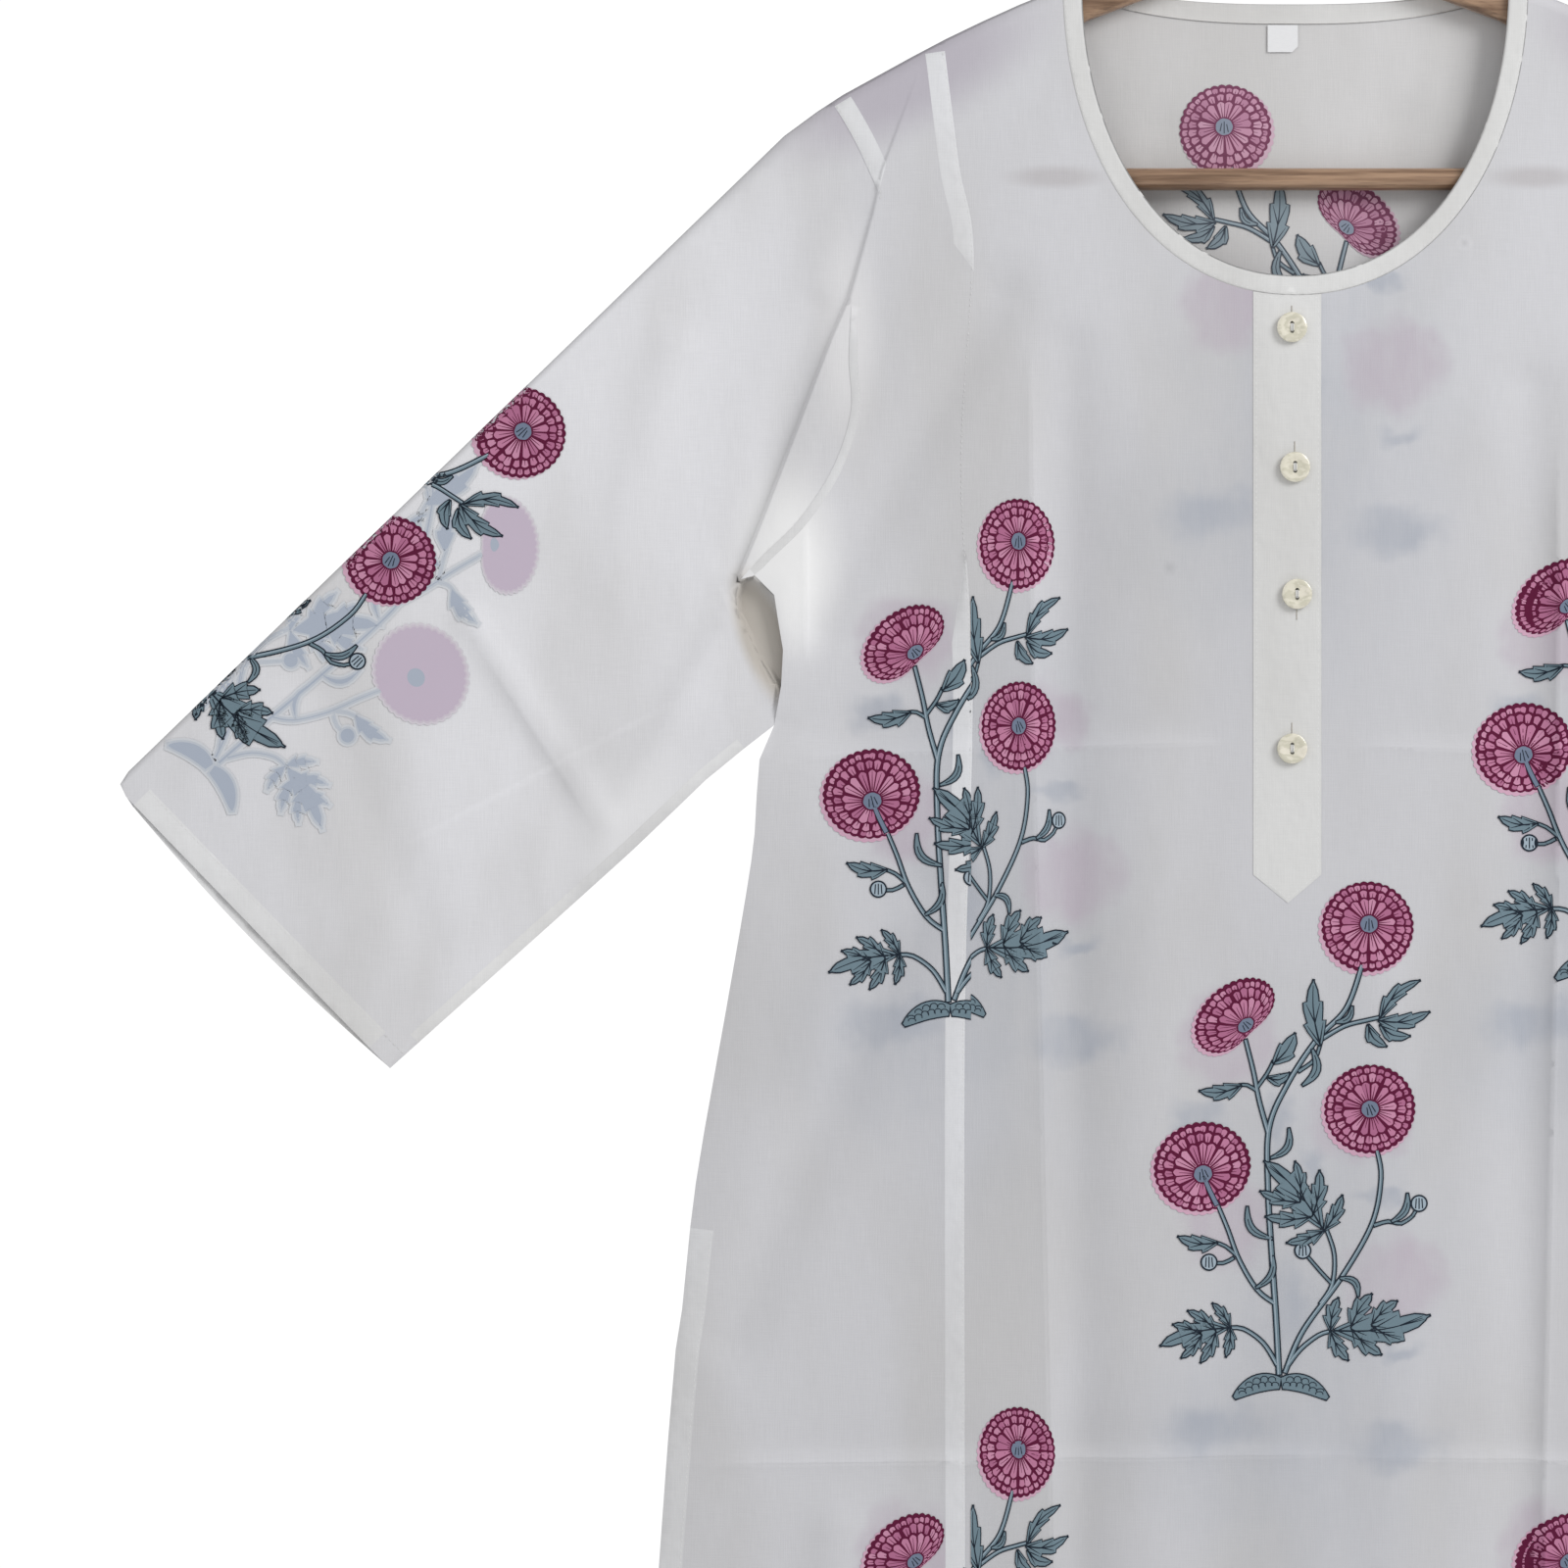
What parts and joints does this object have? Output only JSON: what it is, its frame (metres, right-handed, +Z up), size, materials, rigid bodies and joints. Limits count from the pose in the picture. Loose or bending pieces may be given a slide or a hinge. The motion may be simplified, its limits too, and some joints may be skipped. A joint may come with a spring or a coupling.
{
  "type": "long kurta tunic on a wooden hanger",
  "caption": "Long cotton kurta tunic with three-quarter sleeves, scoop neck, buttoned front placket and side slits, hanging on a wooden clothes hanger.",
  "frame": {"origin": "the inside top of the hanger's hook, where it rests on a rail", "axes": "+X to the viewer's right across the shoulders, the front faces -Y, +Z up"},
  "size_m": [1.1958, 0.0291, 1.2317],
  "materials": {
    "ivory_cotton": "matt woven cotton",
    "cotton_binding": "matt woven cotton, doubled",
    "pearl_button": "pearly",
    "size_label": "smooth tape",
    "hanger_wood": "satin varnish",
    "hook_steel": "satin"
  },
  "bodies": {
    "root": {"front_centre": "ivory_cotton", "front_side_left": "ivory_cotton", "front_side_right": "ivory_cotton", "back": "ivory_cotton", "sleeve_left_front": "ivory_cotton", "sleeve_left_back": "ivory_cotton", "sleeve_right_front": "ivory_cotton", "sleeve_right_back": "ivory_cotton", "neck_binding_front": "cotton_binding", "neck_binding_back": "cotton_binding", "placket_under": "cotton_binding", "placket_top": "cotton_binding", "button_1": "pearl_button", "button_2": "pearl_button", "button_3": "pearl_button", "button_4": "pearl_button", "size_tab": "size_label", "hanger_board": "hanger_wood", "hanger_bar": "hanger_wood", "hanger_hook": "hook_steel"}
  },
  "joints": []
}
